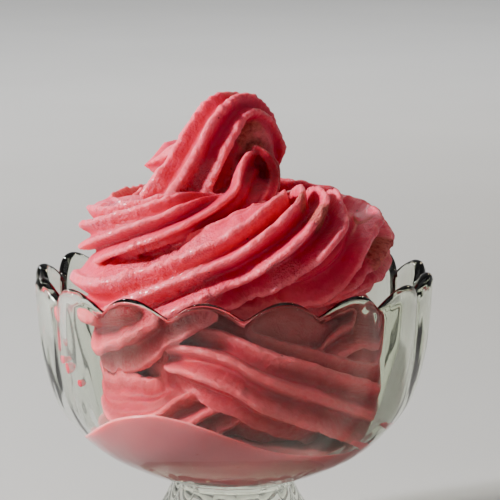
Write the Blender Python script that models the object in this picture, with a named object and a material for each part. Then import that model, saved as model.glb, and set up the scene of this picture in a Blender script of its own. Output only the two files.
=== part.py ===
"""Strawberry soft serve in a footed pressed-glass dish.

A ridged rope of ice is laid in rising turns on a melted layer, and its peak is drawn up and folded over.
Sizes are in millimetres and the meshes are made in metres. The front of the dish faces -Y.
Angles round the dish run from +X towards +Y, so the front is at 270 degrees.
"""

import math

import bmesh
import bpy
import numpy as np

MM = 0.001

# Heights are measured from the mean plane of the scalloped rim, which stands this far above the table.
RIM_HEIGHT = 75.0

# The glass: sixteen petals, each a bulge of the wall with a crease on either side.
PETALS = 16
PETAL_TURN = 262.0
RIM_DIP = 5.8
PETAL_COLUMNS = 4
WALL_GAP = 0.4

# Outlines as (radius, height, crease depth, share of the rim's dip), from the foot up and over.
FOOT_UNDER = ((0.0, -68.5, 0, 0), (14.0, -69.2, 0, 0), (25.0, -72.4, 0, 0), (29.0, -75.0, 0, 0))
FOOT_RING = ((33.0, -75.0, 0.6, 0), (34.2, -74.2, 1.0, 0), (34.2, -72.6, 1.0, 0))
FOOT_TOP = ((34.2, -72.6, 1.0, 0), (26.5, -68.2, 1.2, 0), (19.5, -60.8, 1.0, 0), (15.5, -53.2, 0.5, 0))
BOWL_OUT = (
    (15.5, -53.2, 0.5, 0),
    (26.0, -49.2, 0, 0),
    (36.2, -43.4, 0, 0),
    (46.0, -32.5, 0.4, 0),
    (50.2, -20.0, 1.6, 0.1),
    (51.6, -10.0, 2.5, 0.5),
    (52.4, 1.2, 3.0, 1.0),
)
LIP = ((52.4, 1.2, 3.0, 1.0), (51.8, 2.5, 3.0, 1.0), (50.6, 2.9, 2.8, 1.0), (49.3, 2.4, 2.5, 1.0))
BOWL_IN = (
    (49.3, 2.4, 2.5, 1.0),
    (48.7, -9.0, 1.6, 0.5),
    (46.8, -20.0, 0.8, 0.1),
    (42.4, -32.0, 0.2, 0),
    (34.0, -41.2, 0, 0),
    (20.0, -46.2, 0, 0),
    (0.0, -47.4, 0, 0),
)

# The melted layer: nearly level, heaped against the glass at the front left.
POOL_LEVEL = -39.5
POOL_HEAP = 9.0
POOL_HEAP_TURN = 245.0
POOL_HEAP_WIDTH = 38.0
POOL_HEAP_RADIUS = 38.0
POOL_COLUMNS = 40
SHORE_ROUNDS = 12
TOP_SHARES = (0.35, 0.7, 1.0)
SIDE_SHARES = (0.75, 0.5, 0.2, 0.0)
FLOOR_LIFT = 0.5

# The space for the ice: its rings between the shore and the rim, and how far it goes on above.
ROOM_SHARES = (0.25, 0.5, 0.75, 1.0)
OPEN_HEIGHT = 60.0

# The rope of ice: a star of lobes with flat crests, one of them broad and one worn down, twisted as it is laid.
LOBES = 10
VALLEY_DEPTH = 0.40
VALLEY_ROUND = 0.9
CREST_FLAT = 0.25
BROAD_LOBE = 2
BROAD_FLAT = 0.5
WORN_LOBE = 8
WORN_HEIGHT = 0.2
ROUTE_PARTS = 16
ROPE_STEP = 1.4
BLUNT_START = 5.0
BLUNT_END = 6.0
ROPE_SIDES = 60
SKIN_GRAIN = 0.75
SWIRL_TRIANGLES = 7600

# The rope's way round the dish: (turn, distance from the axis, height, rope radius, twist of the lobes).
TURNS = (
    (-122, 22.1, -16.7, 9.4, 28),
    (-100, 27.5, -16.5, 11.1, 22),
    (-72, 29.7, -22.4, 12.2, 8),
    (-45, 30.3, -27.3, 12.3, -4),
    (-15, 29.2, -32.3, 12.0, -15),
    (30, 27.0, -33.2, 11.3, -8),
    (90, 26.0, -31.0, 11.0, 30),
    (180, 26.0, -32.0, 10.5, 88),
    (225, 25.0, -34.0, 10.5, 116),
    (270, 17.0, -27.0, 10.5, 145),
    (310, 20.0, -20.0, 10.5, 170),
    (345, 28.0, -15.5, 10.5, 195),
    (400, 29.0, -11.0, 10.5, 240),
    (450, 27.0, -9.0, 10.5, 275),
    (495, 28.5, -8.0, 11.5, 305),
    (540, 27.4, -6.6, 16.6, 319),
    (575, 27.4, -5.8, 16.4, 324),
    (597, 28.1, -2.4, 13.5, 343),
    (615, 28.4, 3.3, 11.7, 344),
    (630, 27.8, 8.9, 11.2, 336),
    (650, 28.3, 11.2, 13.4, 368),
    (665, 28.4, 11.5, 15.2, 409),
    (677, 27.8, 11.0, 15.4, 451),
    (692, 28.2, 10.2, 14.3, 491),
    (715, 28.5, 8.4, 13.3, 517),
    (740, 28.1, 8.5, 12.1, 556),
    (770, 26.2, 11.8, 11.2, 595),
    (810, 24.4, 12.5, 10.2, 633),
    (855, 27.5, 12.6, 10.0, 668),
    (900, 30.4, 11.8, 9.8, 694),
    (931, 31.0, 13.3, 8.9, 723),
    (962, 25.1, 18.3, 8.2, 746),
    (984, 18.2, 23.2, 8.2, 766),
    (1003, 10.4, 27.7, 8.5, 787),
)

# The last loop, which passes behind the peak: (x, y, height, rope radius, twist of the lobes).
LAST_LOOP = (
    (1.0, -3.5, 26.8, 8.3, 850),
    (0.9, 3.7, 26.0, 8.6, 857),
    (-3.0, 9.0, 28.0, 8.0, 872),
    (-10.0, 9.5, 29.0, 7.6, 888),
    (-16.5, 5.0, 29.0, 7.4, 898),
    (-16.0, -1.0, 25.0, 7.4, 905),
)

# The peak, drawn out of the swirl with fewer, wider lobes and folded over: (x, y, height, rope radius, twist).
PEAK_LOBES = 7
PEAK = (
    (-17.3, -6.1, 13.7, 11.9, -24),
    (-13.3, -6.1, 20.7, 10.2, -29),
    (-9.1, -5.0, 28.9, 8.9, -32),
    (-4.7, -3.0, 37.1, 8.2, -31),
    (-1.7, -1.5, 41.3, 7.6, -30),
    (1.3, 0.6, 41.9, 6.9, -15),
    (4.4, 2.5, 39.9, 6.5, 0),
    (7.0, 4.0, 35.8, 6.1, 5),
    (8.7, 5.0, 31.0, 5.8, 6),
    (9.6, 5.5, 26.4, 5.4, 5),
)

# The lump of ice that fills the hollow under the fold: its middle and its three half sizes.
FOLD_LUMP = ((3.6, 2.0, 30.5), (6.5, 5.5, 9.5))

# The solid middle that the turns lean on: (radius, height).
CORE = ((20.0, -42.0), (24.0, -32.0), (27.0, -20.0), (27.5, -4.0), (25.5, 6.0), (14.0, 14.0), (5.0, 24.0))


def clear_scene():
    for obj in list(bpy.data.objects):
        bpy.data.objects.remove(obj, do_unlink=True)


def material(name, colour, roughness, alpha=1.0):
    """A Principled material without metal."""
    made = bpy.data.materials.new(name)
    made.use_nodes = True
    shader = made.node_tree.nodes["Principled BSDF"]
    shader.inputs["Base Color"].default_value = (*colour, 1.0)
    shader.inputs["Roughness"].default_value = roughness
    shader.inputs["Metallic"].default_value = 0.0
    shader.inputs["Alpha"].default_value = alpha
    return made


def add_object(name, points, faces, surface=None):
    """An object from points in millimetres from the rim plane, moved up to stand on the table."""
    raised = (np.asarray(points, float) + (0.0, 0.0, RIM_HEIGHT)) * MM
    mesh = bpy.data.meshes.new(name)
    mesh.from_pydata(raised.tolist(), [], faces)
    obj = bpy.data.objects.new(name, mesh)
    bpy.context.scene.collection.objects.link(obj)
    outward = bmesh.new()
    outward.from_mesh(mesh)
    bmesh.ops.recalc_face_normals(outward, faces=outward.faces)
    outward.to_mesh(mesh)
    outward.free()
    if surface:
        mesh.materials.append(surface)
    return obj


def blend(one, two, low, high, at):
    """Between two rows or curves: the first where the knot value is low, the second where it is high."""
    return ((high - at) * one + (at - low) * two) / (high - low)


def curve_through(points, parts):
    """Centripetal Catmull-Rom curve through rows of values, with this many parts between two rows."""
    rows = np.asarray(points, float)
    rows = np.vstack([2 * rows[0] - rows[1], rows, 2 * rows[-1] - rows[-2]])
    found = []
    for before, start, end, after in zip(rows, rows[1:], rows[2:], rows[3:]):
        knots = [0.0]
        for one, two in ((before, start), (start, end), (end, after)):
            knots.append(knots[-1] + np.linalg.norm((two - one)[:3]) ** 0.5)
        at = np.linspace(knots[1], knots[2], parts, endpoint=False)[:, None]
        first = blend(before, start, knots[0], knots[1], at)
        second = blend(start, end, knots[1], knots[2], at)
        third = blend(end, after, knots[2], knots[3], at)
        left = blend(first, second, knots[0], knots[2], at)
        right = blend(second, third, knots[1], knots[3], at)
        found.append(blend(left, right, knots[1], knots[2], at))
    return np.vstack([*found, rows[-2:-1]])


def ring_faces(rings, columns):
    """Quads between closed rings of points."""
    faces = []
    for ring in range(rings - 1):
        for column in range(columns):
            beside = (column + 1) % columns
            low, high = ring * columns, (ring + 1) * columns
            faces.append((low + column, low + beside, high + beside, high + column))
    return faces


def closed_by_poles(rings, columns, first_pole, last_pole):
    """Quads between rings and a fan of triangles at each end, with the two poles as the last points."""
    faces = ring_faces(rings, columns)
    last = (rings - 1) * columns
    for column in range(columns):
        beside = (column + 1) % columns
        faces.append((first_pole, beside, column))
        faces.append((last_pole, last + column, last + beside))
    return faces


def closed_by_caps(rings, columns):
    """Quads between rings and one flat face at each end."""
    faces = ring_faces(rings, columns)
    last = (rings - 1) * columns
    faces.append(tuple(range(columns))[::-1])
    faces.append(tuple(range(last, last + columns)))
    return faces


def petal_wave(turn):
    """One in the middle of a petal and nought in a crease."""
    return np.abs(np.cos(np.radians(turn - PETAL_TURN) * PETALS / 2))


def petal_turns(columns_each):
    """Angles round the dish in degrees, with a column in every crease and every petal's middle."""
    count = PETALS * columns_each
    return PETAL_TURN + np.arange(count) * 360.0 / count


def turned(outline, turns):
    """Rings of points from an outline, creased and dipped between the petals."""
    hollow = 1 - petal_wave(turns)
    rings = []
    for radius, height, crease, dip in outline:
        out = radius - crease * hollow
        up = height - dip * RIM_DIP * hollow
        rings.append(np.stack([out * np.cos(np.radians(turns)), out * np.sin(np.radians(turns)), up], -1))
    return rings


def glass_outline():
    """The whole outline from the middle of the underside to the middle of the bowl's floor."""
    return np.vstack([
        curve_through(FOOT_UNDER, 2),
        FOOT_RING[:-1],
        curve_through(FOOT_TOP, 2)[:-1],
        curve_through(BOWL_OUT, 2)[:-1],
        LIP[:-1],
        curve_through(BOWL_IN, 2),
    ])


def glass_dish():
    turns = petal_turns(PETAL_COLUMNS)
    outline = glass_outline()
    rings = turned(outline[1:-1], turns)
    columns = len(turns)
    count = len(rings) * columns
    points = np.vstack([*rings, (0, 0, outline[0][1]), (0, 0, outline[-1][1])])
    faces = closed_by_poles(len(rings), columns, count, count + 1)
    dish = add_object("glass_dish", points, faces, material("pressed glass", (0.86, 0.88, 0.84), 0.05, 0.35))
    dish.data.shade_smooth()
    dish.data.set_sharp_from_angle(angle=math.radians(40))
    return dish


def clear_radius(height):
    """How far out the contents reach at a height: to a gap short of the glass, in a crease, where it is nearest."""
    inside = curve_through(BOWL_IN, 2)[::-1]
    crease_heights = inside[:, 1] - inside[:, 3] * RIM_DIP
    crease_radii = inside[:, 0] - inside[:, 2]
    return np.interp(height - WALL_GAP, crease_heights, crease_radii) - WALL_GAP


def pool_top(turn, radius):
    """Height of the melted layer's surface."""
    aside = (turn - POOL_HEAP_TURN + 180.0) % 360.0 - 180.0
    return POOL_LEVEL + POOL_HEAP * (radius / POOL_HEAP_RADIUS) ** 2 * np.exp(-((aside / POOL_HEAP_WIDTH) ** 2))


def shore(turn, lift):
    """Where the melted layer's surface, lifted by this much, meets the wall: (radius, height)."""
    radius = POOL_HEAP_RADIUS
    for _ in range(SHORE_ROUNDS):
        height = pool_top(turn, radius) + lift
        radius = clear_radius(height)
    return radius, height


def pool_sheet(lift):
    """Rings over the melted layer's surface, from the shore inwards."""
    turns = np.arange(POOL_COLUMNS) * 360.0 / POOL_COLUMNS
    edge = [shore(turn, lift) for turn in turns]
    rings = []
    for share in TOP_SHARES:
        ring = []
        for turn, (radius, height) in zip(turns, edge):
            out = radius * share
            up = height if share == 1 else pool_top(turn, out) + lift
            ring.append((out * math.cos(math.radians(turn)), out * math.sin(math.radians(turn)), up))
        rings.append(np.array(ring))
    return rings, turns, edge


def melted_pool():
    """The melted layer, from the bowl's floor up to its surface."""
    top, turns, edge = pool_sheet(0.0)
    sides = []
    floor = BOWL_IN[-1][1] + WALL_GAP
    for share in SIDE_SHARES:
        ring = []
        for turn, (_, height) in zip(turns, edge):
            low = floor + FLOOR_LIFT + (height - floor - FLOOR_LIFT) * share
            out = clear_radius(low)
            ring.append((out * math.cos(math.radians(turn)), out * math.sin(math.radians(turn)), low))
        sides.append(np.array(ring))
    rings = top + sides
    count = len(rings) * POOL_COLUMNS
    points = np.vstack([*rings, (0, 0, POOL_LEVEL), (0, 0, floor)])
    faces = closed_by_poles(len(rings), POOL_COLUMNS, count, count + 1)
    pool = add_object("melted_pool", points, faces, material("melted ice", (0.62, 0.21, 0.22), 0.25))
    pool.data.shade_smooth()
    return pool


def laid_rows():
    """The rows of the turns and the last loop as (x, y, height, rope radius, twist)."""
    rows = []
    for turn, away, height, radius, twist in TURNS:
        angle = math.radians(turn)
        rows.append((away * math.cos(angle), away * math.sin(angle), height, radius, twist))
    return rows + list(LAST_LOOP)


def even_steps(rows, guided_rows):
    """A route at even steps: (rows, distance along it, length of its first guided rows)."""
    path = curve_through(rows, ROUTE_PARTS)
    lengths = np.linalg.norm(np.diff(path[:, :3], axis=0), axis=1)
    along = np.concatenate([[0.0], np.cumsum(lengths)])
    even = np.linspace(0.0, along[-1], int(along[-1] / ROPE_STEP))
    steady = np.stack([np.interp(even, along, column) for column in path.T], -1)
    return steady, even, along[(guided_rows - 1) * ROUTE_PARTS]


def rope_frames(middle, even, guided, outward):
    """At each step, the directions that twist 0 and 90 point in, carried on past the guided part."""
    ahead = np.gradient(middle, axis=0)
    ahead /= np.linalg.norm(ahead, axis=1)[:, None]
    for step in range(len(middle)):
        if step and even[step] > guided:
            outward[step] = outward[step - 1]
        outward[step] -= (outward[step] @ ahead[step]) * ahead[step]
        outward[step] /= np.linalg.norm(outward[step])
    return outward, np.cross(outward, ahead)


def star_section(lobes):
    """The rope's section with this many lobes: each side's angle and its distance from the middle."""
    angles = np.arange(ROPE_SIDES) * 2 * math.pi / ROPE_SIDES
    turn = lobes * angles / (2 * math.pi)
    lobe = np.round(turn) % lobes
    from_crest = np.abs((turn + 0.5) % 1.0 - 0.5) * 2
    flat = np.where((lobe == BROAD_LOBE) & (lobes == LOBES), BROAD_FLAT, CREST_FLAT)
    raised = 1 - np.sin(math.pi / 2 * np.clip((from_crest - flat) / (1 - flat), 0, 1)) ** VALLEY_ROUND
    if lobes == LOBES:
        raised[lobe == WORN_LOBE] *= WORN_HEIGHT
    return angles, 1 - VALLEY_DEPTH * (1 - raised)


def tube(steady, even, outward, upward, lobes):
    """A rope's points and faces."""
    angles, star = star_section(lobes)
    blunt = np.sqrt(np.clip(np.minimum(even / BLUNT_START, (even[-1] - even) / BLUNT_END), 0.02, 1))
    rings = []
    for middle, out, up, end in zip(steady, outward, upward, blunt):
        at = angles + math.radians(middle[4])
        size = middle[3] * end * star
        rings.append(middle[:3] + (size * np.cos(at))[:, None] * out + (size * np.sin(at))[:, None] * up)
    return np.vstack(rings), closed_by_caps(len(rings), ROPE_SIDES)


def laid_rope():
    """The rope's turns and last loop, which cross themselves where they press together."""
    steady, even, guided = even_steps(laid_rows(), len(TURNS))
    outward, upward = rope_frames(steady[:, :3], even, guided, steady[:, :3] * (1.0, 1.0, 0.0))
    return tube(steady, even, outward, upward, LOBES)


def peak_rope():
    """The peak, whose twist 0 faces the front where it starts."""
    steady, even, _ = even_steps(PEAK, 1)
    outward, upward = rope_frames(steady[:, :3], even, 0.0, np.tile((0.0, -1.0, 0.0), (len(steady), 1)))
    return tube(steady, even, outward, upward, PEAK_LOBES)


def fold_lump():
    """Ice that fills the hollow under the fold."""
    rows, columns = 12, 20
    down = np.linspace(0.1, math.pi - 0.1, rows)
    turns = np.arange(columns) * 2 * math.pi / columns
    rings = []
    for angle in down:
        across = math.sin(angle)
        ball = np.stack([across * np.cos(turns), across * np.sin(turns), np.full(columns, math.cos(angle))], -1)
        rings.append(FOLD_LUMP[0] + ball * FOLD_LUMP[1])
    return np.vstack(rings), closed_by_caps(rows, columns)


def core():
    """A turned lump inside the turns."""
    columns = 32
    turns = np.arange(columns) * 2 * math.pi / columns
    rings = [np.stack([out * np.cos(turns), out * np.sin(turns), np.full(columns, up)], -1) for out, up in CORE]
    return np.vstack(rings), closed_by_caps(len(rings), columns)


def joined(*shapes):
    """Several (points, faces) as one."""
    points, faces = [], []
    for more_points, more_faces in shapes:
        before = sum(map(len, points))
        faces += [tuple(corner + before for corner in face) for face in more_faces]
        points.append(more_points)
    return np.vstack(points), faces


def serving_room():
    """The space for the ice: inside the glass, over the melted layer and up past the peak."""
    base, turns, edge = pool_sheet(WALL_GAP)
    rings = list(base)
    top = BOWL_IN[0][1]
    for share in ROOM_SHARES:
        ring = []
        for turn, (_, height) in zip(turns, edge):
            up = height + (top - height) * share
            out = clear_radius(up)
            ring.append((out * math.cos(math.radians(turn)), out * math.sin(math.radians(turn)), up))
        rings.append(np.array(ring))
    rings.append(rings[-1] + (0, 0, OPEN_HEIGHT))
    count = len(rings) * POOL_COLUMNS
    points = np.vstack([*rings, (0, 0, POOL_LEVEL + WALL_GAP), (0, 0, top + OPEN_HEIGHT)])
    faces = closed_by_poles(len(rings), POOL_COLUMNS, count, count + 1)
    room = add_object("serving_room", points, faces)
    room.hide_render = True
    room.display_type = "WIRE"
    return room


def apply_modifiers(obj):
    """Makes the object's shape what its modifiers have made of it."""
    bpy.context.view_layer.update()
    evaluated = obj.evaluated_get(bpy.context.evaluated_depsgraph_get())
    made = bpy.data.meshes.new_from_object(evaluated)
    obj.modifiers.clear()
    obj.data = made


def drop_scraps(obj):
    """Leaves only the largest connected piece of a mesh."""
    shape = bmesh.new()
    shape.from_mesh(obj.data)
    unseen = set(shape.verts)
    largest = []
    while unseen:
        piece = [unseen.pop()]
        for vertex in piece:
            for edge in vertex.link_edges:
                other = edge.other_vert(vertex)
                if other in unseen:
                    unseen.remove(other)
                    piece.append(other)
        largest = max(largest, piece, key=len)
    kept = set(largest)
    bmesh.ops.delete(shape, geom=[vertex for vertex in shape.verts if vertex not in kept], context="VERTS")
    shape.to_mesh(obj.data)
    shape.free()


def soft_serve():
    """The rope, its peak and its core grown into one skin, thinned to broad facets and fitted to the bowl."""
    points, faces = joined(laid_rope(), peak_rope(), fold_lump(), core())
    ice = add_object("soft_serve", points, faces, material("strawberry ice", (0.72, 0.16, 0.18), 0.45))
    skin = ice.modifiers.new("one skin", "REMESH")
    skin.mode = "VOXEL"
    skin.voxel_size = SKIN_GRAIN * MM
    skin.adaptivity = 0.0
    apply_modifiers(ice)
    drop_scraps(ice)
    fine = sum(len(face.vertices) - 2 for face in ice.data.polygons)
    thinned = ice.modifiers.new("broad facets", "DECIMATE")
    thinned.ratio = SWIRL_TRIANGLES / fine
    fitted = ice.modifiers.new("fitted to the bowl", "BOOLEAN")
    fitted.operation = "INTERSECT"
    fitted.object = serving_room()
    ice.data.shade_smooth()
    return ice


def main():
    clear_scene()
    glass_dish()
    melted_pool()
    soft_serve()


main()
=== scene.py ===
"""The looks of strawberry soft serve in its pressed-glass dish.

Sizes are in millimetres unless a name ends in _M or a comment says otherwise. Heights are measured from the
mean plane of the scalloped rim. Turns round the dish are in degrees and run from +X towards +Y.
"""

import math
from collections import namedtuple
from itertools import product

import bmesh
import bpy
import numpy as np
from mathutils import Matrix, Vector
from mathutils.kdtree import KDTree


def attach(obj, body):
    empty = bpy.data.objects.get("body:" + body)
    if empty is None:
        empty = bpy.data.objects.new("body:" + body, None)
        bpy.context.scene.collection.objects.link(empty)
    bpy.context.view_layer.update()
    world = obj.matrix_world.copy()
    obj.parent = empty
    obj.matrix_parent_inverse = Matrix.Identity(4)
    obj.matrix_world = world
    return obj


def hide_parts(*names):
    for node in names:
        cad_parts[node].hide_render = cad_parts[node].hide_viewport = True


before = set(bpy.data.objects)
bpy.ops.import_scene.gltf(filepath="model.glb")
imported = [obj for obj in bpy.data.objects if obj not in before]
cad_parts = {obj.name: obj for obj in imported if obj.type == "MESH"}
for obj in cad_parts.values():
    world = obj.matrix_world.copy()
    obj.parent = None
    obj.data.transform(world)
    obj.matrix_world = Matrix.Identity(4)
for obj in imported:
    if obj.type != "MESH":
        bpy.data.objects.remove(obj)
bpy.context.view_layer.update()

MM = 0.001
RIM_HEIGHT = 75.0

# The solid that each piece stands for. The smears stand for none.
STANDS_FOR = {"dish": "glass_dish", "pool": "melted_pool", "swirl": "soft_serve"}

# The dish's petals: the middle of one faces this turn, and the rim dips between them.
PETALS = 16
PETAL_TURN = 262.0
RIM_DIP = 5.8
CREASE_SOFTNESS = 0.10

# How finely the glass is divided: columns in a petal, and parts between two rows of an outline.
PETAL_COLUMNS = 14
OUTLINE_PARTS = 6

# Outlines as (radius, height, crease depth, share of the rim's dip), from the foot up and over.
FOOT_UNDER = ((0.0, -68.5, 0, 0), (14.0, -69.2, 0, 0), (25.0, -72.4, 0, 0), (29.0, -75.0, 0, 0))
FOOT_RING = ((33.0, -75.0, 0.6, 0), (34.2, -74.2, 1.0, 0), (34.2, -72.6, 1.0, 0))
FOOT_TOP = ((34.2, -72.6, 1.0, 0), (26.5, -68.2, 1.2, 0), (19.5, -60.8, 1.0, 0), (15.5, -53.2, 0.5, 0))
BOWL_OUT = (
    (15.5, -53.2, 0.5, 0),
    (26.0, -49.2, 0, 0),
    (36.2, -43.4, 0, 0),
    (46.0, -32.5, 0.4, 0),
    (50.2, -20.0, 1.6, 0.1),
    (51.6, -10.0, 2.5, 0.5),
    (52.4, 1.2, 3.0, 1.0),
)
LIP = ((52.4, 1.2, 3.0, 1.0), (51.8, 2.5, 3.0, 1.0), (50.6, 2.9, 2.8, 1.0), (49.3, 2.4, 2.5, 1.0))
BOWL_IN = (
    (49.3, 2.4, 2.5, 1.0),
    (48.7, -9.0, 1.6, 0.5),
    (46.8, -20.0, 0.8, 0.1),
    (42.4, -32.0, 0.2, 0),
    (34.0, -41.2, 0, 0),
    (20.0, -46.2, 0, 0),
    (0.0, -47.4, 0, 0),
)

# The highest that the ice reaches, the height that shade is painted on it below, and how gradually it fades.
PEAK_TOP = 48.7
SHADE_BELOW = -1.0
SHADE_FADE = 4.0

# How far the ice and the melted layer reach into the wall, so that no air shows where they wet it.
WETTING = 0.15

# The melted layer: nearly level, heaped against the glass at the front left. Its lowest ring, in the glass's
# corner, is a little above its middle.
POOL_LEVEL = -39.5
POOL_HEAP = 9.0
POOL_HEAP_TURN = 245.0
POOL_HEAP_WIDTH = 38.0
POOL_HEAP_RADIUS = 38.0
POOL_COLUMNS = 160
POOL_RINGS = 24
POOL_LOWEST_RING = 0.3

# The rope of ice is a star of lobes, twisted as it is laid. A valley's depth is a share of the rope's radius.
LOBES = 10
VALLEY_DEPTH = 0.40

# A lobe's flat top, as a share of its width, and how sharply its sides fall. A lobe's height is nought in a
# valley and one on a crest.
CREST_FLAT = 0.25
CREST_FALL = 0.9

# One lobe is broad, with the valley after it filled to this height, and one is worn down.
BROAD_LOBE = 2
BROAD_FLAT = 0.5
FILLED_HEIGHT = 0.8
WORN_LOBE = 8
WORN_HEIGHT = 0.2

# The lobes that sink away at the rope's end, where the peak rises beside them: from, to, slope and height.
SUNK_FROM = -0.6
SUNK_TO = 3.5
SUNK_SLOPE = 0.3
SUNK_HEIGHT = -0.95

# How wide a lobe is taken to be for the grooves and the bites that run across it.
GROOVED_LOBE = 2.5
BITTEN_LOBE = 4.0

# Small bites in the crests: their length, their depth on the turns and on the peak, and the share of it that
# the glass has left them, as (height over the rim, share).
BITE_LENGTH = 1.5
LAID_BITES = 0.13
PEAK_BITES = 0.17
BITES_LEFT = ((-12.0, 0.3), (2.0, 1.0))

# The rope's ends are rounded over these lengths, down to this share of its width squared.
BLUNT_START = 5.0
BLUNT_END = 6.0
BLUNT_TIP = 0.02

# How finely the rope is divided, and the skin that grows over it.
ROUTE_PARTS = 24
ROPE_STEP = 0.45
ROPE_SIDES = 100
SKIN_GRAIN = 0.5
SWIRL_TRIANGLES = 190000

# The rope's way round the dish: (turn, distance from the axis, height, rope radius, twist of the lobes).
TURNS = (
    (-122, 22.1, -16.7, 9.4, 28),
    (-100, 27.5, -16.5, 11.1, 22),
    (-72, 29.7, -22.4, 12.2, 8),
    (-45, 30.3, -27.3, 12.3, -4),
    (-15, 29.2, -32.3, 12.0, -15),
    (30, 27.0, -33.2, 11.3, -8),
    (90, 26.0, -31.0, 11.0, 30),
    (180, 26.0, -32.0, 10.5, 88),
    (225, 25.0, -34.0, 10.5, 116),
    (270, 17.0, -27.0, 10.5, 145),
    (310, 20.0, -20.0, 10.5, 170),
    (345, 28.0, -15.5, 10.5, 195),
    (400, 29.0, -11.0, 10.5, 240),
    (450, 27.0, -9.0, 10.5, 275),
    (495, 28.5, -8.0, 11.5, 305),
    (540, 27.4, -6.6, 16.6, 319),
    (575, 27.4, -5.8, 16.4, 324),
    (597, 28.1, -2.4, 13.5, 343),
    (615, 28.4, 3.3, 11.7, 344),
    (630, 27.8, 8.9, 11.2, 336),
    (650, 28.3, 11.2, 13.4, 368),
    (665, 28.4, 11.5, 15.2, 409),
    (677, 27.8, 11.0, 15.4, 451),
    (692, 28.2, 10.2, 14.3, 491),
    (715, 28.5, 8.4, 13.3, 517),
    (740, 28.1, 8.5, 12.1, 556),
    (770, 26.2, 11.8, 11.2, 595),
    (810, 24.4, 12.5, 10.2, 633),
    (855, 27.5, 12.6, 10.0, 668),
    (900, 30.4, 11.8, 9.8, 694),
    (931, 31.0, 13.3, 8.9, 723),
    (962, 25.1, 18.3, 8.2, 746),
    (984, 15.4, 22.7, 8.2, 766),
    (1003, 6.5, 26.9, 8.5, 787),
)

# The last loop, which passes behind the peak. This and the routes after it are rows of
# (x, y, height, rope radius, twist of the lobes).
LAST_LOOP = (
    (1.0, 0.4, 26.1, 8.3, 850),
    (0.9, 5.7, 25.7, 8.6, 857),
    (-3.0, 9.5, 27.0, 8.0, 872),
    (-9.0, 9.5, 27.0, 7.0, 888),
)

# The peak, drawn out of the swirl with fewer, wider lobes and folded over.
PEAK_LOBES = 7
PEAK = (
    (-17.3, -11.0, 14.6, 11.0, -24),
    (-13.3, -11.0, 21.6, 10.1, -29),
    (-9.1, -8.0, 29.4, 8.8, -32),
    (-4.7, -4.0, 37.3, 8.2, -31),
    (-1.7, -1.5, 41.3, 7.6, -30),
    (1.3, 0.6, 41.9, 6.9, -15),
    (4.4, 2.5, 39.9, 6.5, 0),
    (7.0, 4.0, 35.8, 6.1, 5),
    (8.7, 5.0, 31.0, 5.8, 6),
    (9.6, 5.5, 26.4, 5.4, 5),
)

# Where the peak is wrinkled by being folded, as distances along it: from, full from, full to, to. Then how
# far apart and how high the wrinkles are, and how long their bends.
PEAK_WRINKLED = (26.0, 32.0, 48.0, 56.0)
WRINKLE_SPACING = 1.3
WRINKLE_HEIGHT = 0.13
WRINKLE_SWAY = 3.0

# The rope's end, a single tooth that stands out behind the peak.
TOOTH_LOBES = 4
TOOTH = (
    (-8.0, 8.5, 28.0, 8.0, 40),
    (-14.0, 7.5, 28.7, 7.6, 42),
    (-18.5, 6.5, 28.6, 5.6, 44),
    (-23.3, 5.5, 28.6, 1.4, 46),
)

# The thin rim round the hollow under the fold, and the wall that carries it.
RIM_LOBES = 4
FOLD_RIM = (
    (4.6, -9.0, 34.6, 1.4, 0),
    (5.6, -8.3, 35.0, 1.6, 10),
    (7.7, -8.0, 33.5, 1.6, 20),
    (9.4, -7.8, 31.0, 1.6, 30),
    (10.1, -8.2, 27.9, 1.7, 40),
    (9.7, -10.5, 24.9, 1.8, 50),
    (8.1, -14.5, 22.4, 2.0, 60),
    (5.4, -19.0, 20.8, 2.0, 70),
)
FOLD_WALL = (
    (6.5, -4.0, 33.5, 2.2, 0),
    (9.0, -4.2, 31.2, 2.2, 20),
    (10.3, -4.8, 28.0, 2.2, 40),
    (9.8, -7.0, 24.0, 2.4, 50),
    (8.2, -10.5, 21.0, 2.6, 60),
)

# Lumps of ice under the fold and at the foot of the peak: their middles and their three half sizes.
LUMPS = (((5.0, 0.5, 33.0), (5.5, 6.0, 10.0)), ((-24.0, -5.0, 18.0), (10.0, 8.0, 4.2)))

# Smears of ice left on the inside of the wall, whose radius there is given last: (turn, height, half width,
# half height).
SMEARS = (
    (205.5, -13.6, 0.6, 1.6),
    (209.0, -16.8, 1.4, 1.1),
    (211.5, -18.4, 0.8, 1.3),
    (216.5, -21.6, 0.7, 0.9),
)
SMEAR_THICKNESS = 0.7
SMEAR_RAGGEDNESS = 0.22
SMEAR_GRAIN = 0.9
SMEARED_WALL = 46.0

# Rough frosty spots, torn spots painted brown as shade, and deep red painted shade in hollows: (x, y, height,
# radius).
FROSTY_SPOTS = (
    (-29.0, -17.0, 20.5, 8.0),
    (-22.0, -14.0, 22.0, 5.0),
    (-4.8, -16.0, 28.0, 4.5),
    (-13.0, -17.0, 24.0, 3.0),
    (-20.7, -30.0, 8.0, 8.0),
    (-28.0, -25.0, 6.0, 5.0),
    (-11.0, -34.5, 11.5, 5.0),
    (-25.7, -30.0, -2.5, 6.0),
    (-15.0, -33.0, 0.0, 6.0),
    (-8.0, -36.5, 2.5, 5.0),
    (12.0, -38.0, 8.0, 4.0),
    (20.0, 28.0, 12.0, 9.0),
    (-12.0, 30.0, 14.0, 8.0),
)
TORN_SPOTS = (
    (17.6, -28.2, 24.4, 2.6),
    (22.2, -31.4, 20.5, 3.2),
    (33.0, -11.0, 16.0, 2.5),
    (38.3, -13.3, 11.0, 4.8),
    (36.5, -19.5, 8.0, 3.2),
    (5.2, -5.0, 37.5, 3.4),
)
SHADED_HOLLOW_SPOTS = (
    (8.5, -6.0, 30.5, 5.0),
    (6.5, -8.5, 28.5, 4.2),
    (4.6, -12.0, 26.0, 3.4),
    (4.5, -7.5, 32.0, 2.6),
    (20.0, -31.0, 19.0, 2.5),
)

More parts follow.
